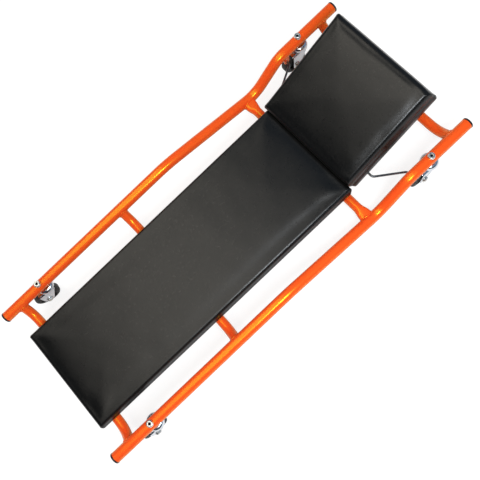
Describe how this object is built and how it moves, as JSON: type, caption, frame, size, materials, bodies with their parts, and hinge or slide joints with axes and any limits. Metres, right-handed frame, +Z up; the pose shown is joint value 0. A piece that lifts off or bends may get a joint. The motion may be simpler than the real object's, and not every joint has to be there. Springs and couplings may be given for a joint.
{
  "type": "mechanic creeper",
  "caption": "Low mechanic's creeper: padded bed on dipped tube rails, tilting headrest on a wire prop, and swivel casters.",
  "frame": {"origin": "centre of the footprint, on the floor under the wheels", "axes": "+X to the head end, +Y to the user's left when lying face up, +Z up"},
  "size_m": [1.022, 0.4439, 0.2008],
  "materials": {
    "orange_paint": "gloss powder coat",
    "black_vinyl": "fine grained vinyl",
    "foam": "open cell foam",
    "plywood": "raw plywood",
    "black_plastic": "moulded",
    "zinc_plate": "bright zinc plate",
    "bolt_steel": "plated fastener",
    "wire_steel": "dark drawn wire",
    "hub_plastic": "moulded nylon",
    "tyre_rubber": "hard rubber tread"
  },
  "bodies": {
    "frame": {"side_rail_left": "orange_paint", "side_rail_right": "orange_paint", "crossbar_foot": "orange_paint", "crossbar_middle": "orange_paint", "crossbar_shoulder": "orange_paint", "crossbar_head": "orange_paint", "end_cap_foot_left": "black_plastic", "end_cap_foot_right": "black_plastic", "end_cap_head_left": "black_plastic", "end_cap_head_right": "black_plastic", "back_board": "plywood", "back_foam": "foam", "back_cover": "black_vinyl", "back_spacers": "black_plastic", "back_screws": "bolt_steel", "hinge_bracket_left": "orange_paint", "hinge_bracket_right": "orange_paint", "hinge_pins": "bolt_steel", "prop_lug_left": "orange_paint", "prop_lug_right": "orange_paint", "caster_bolt_foot_left": "bolt_steel", "caster_bolt_foot_right": "bolt_steel", "caster_bolt_head_left": "bolt_steel", "caster_bolt_head_right": "bolt_steel", "caster_race_foot_left": "zinc_plate", "caster_race_foot_right": "zinc_plate", "caster_race_head_left": "zinc_plate", "caster_race_head_right": "zinc_plate"},
    "headrest": {"head_board": "plywood", "head_foam": "foam", "head_cover": "black_vinyl", "hinge_leaf_left": "orange_paint", "hinge_leaf_right": "orange_paint", "prop_strips": "bolt_steel", "head_screws": "bolt_steel"},
    "prop": {"prop_wire": "wire_steel", "prop_wire_caps": "black_plastic"},
    "swivel_foot_left": {"caster_fork_foot_left": "zinc_plate", "caster_balls_foot_left": "bolt_steel", "caster_axle_foot_left": "bolt_steel"},
    "wheel_foot_left": {"wheel_hub_foot_left": "hub_plastic", "wheel_tyre_foot_left": "tyre_rubber"},
    "swivel_foot_right": {"caster_fork_foot_right": "zinc_plate", "caster_balls_foot_right": "bolt_steel", "caster_axle_foot_right": "bolt_steel"},
    "wheel_foot_right": {"wheel_hub_foot_right": "hub_plastic", "wheel_tyre_foot_right": "tyre_rubber"},
    "swivel_head_left": {"caster_fork_head_left": "zinc_plate", "caster_balls_head_left": "bolt_steel", "caster_axle_head_left": "bolt_steel"},
    "wheel_head_left": {"wheel_hub_head_left": "hub_plastic", "wheel_tyre_head_left": "tyre_rubber"},
    "swivel_head_right": {"caster_fork_head_right": "zinc_plate", "caster_balls_head_right": "bolt_steel", "caster_axle_head_right": "bolt_steel"},
    "wheel_head_right": {"wheel_hub_head_right": "hub_plastic", "wheel_tyre_head_right": "tyre_rubber"}
  },
  "joints": [
    {"name": "headrest_tilt", "type": "hinge", "parent": "frame", "child": "headrest", "pos_m": [0.25, 0, 0.071], "axis": [0, -1, 0], "range_deg": [-22, 8]},
    {"name": "prop_swing", "type": "hinge", "parent": "frame", "child": "prop", "pos_m": [0.357, 0, 0.0666], "axis": [0, 1, 0], "range_deg": [-18.1, 6.6]},
    {"name": "swivel_foot_left", "type": "hinge", "parent": "frame", "child": "swivel_foot_left", "pos_m": [-0.4025, 0.20075, 0.07], "axis": [0, 0, 1], "continuous": true},
    {"name": "roll_foot_left", "type": "hinge", "parent": "swivel_foot_left", "child": "wheel_foot_left", "pos_m": [-0.42438, 0.20305, 0.0315], "axis": [0.1045, 0.9945, 0], "continuous": true},
    {"name": "swivel_foot_right", "type": "hinge", "parent": "frame", "child": "swivel_foot_right", "pos_m": [-0.4025, -0.20075, 0.07], "axis": [0, 0, 1], "continuous": true},
    {"name": "roll_foot_right", "type": "hinge", "parent": "swivel_foot_right", "child": "wheel_foot_right", "pos_m": [-0.4245, -0.20075, 0.0315], "axis": [0, 1, 0], "continuous": true},
    {"name": "swivel_head_left", "type": "hinge", "parent": "frame", "child": "swivel_head_left", "pos_m": [0.4025, 0.20075, 0.07], "axis": [0, 0, 1], "continuous": true},
    {"name": "roll_head_left", "type": "hinge", "parent": "swivel_head_left", "child": "wheel_head_left", "pos_m": [0.3805, 0.20075, 0.0315], "axis": [0, 1, 0], "continuous": true},
    {"name": "swivel_head_right", "type": "hinge", "parent": "frame", "child": "swivel_head_right", "pos_m": [0.4025, -0.20075, 0.07], "axis": [0, 0, 1], "continuous": true},
    {"name": "roll_head_right", "type": "hinge", "parent": "swivel_head_right", "child": "wheel_head_right", "pos_m": [0.3805, -0.20075, 0.0315], "axis": [0, 1, 0], "continuous": true}
  ],
  "couplings": [
    {"joint": "prop_swing", "follows": "headrest_tilt", "ratio": 0.82}
  ]
}
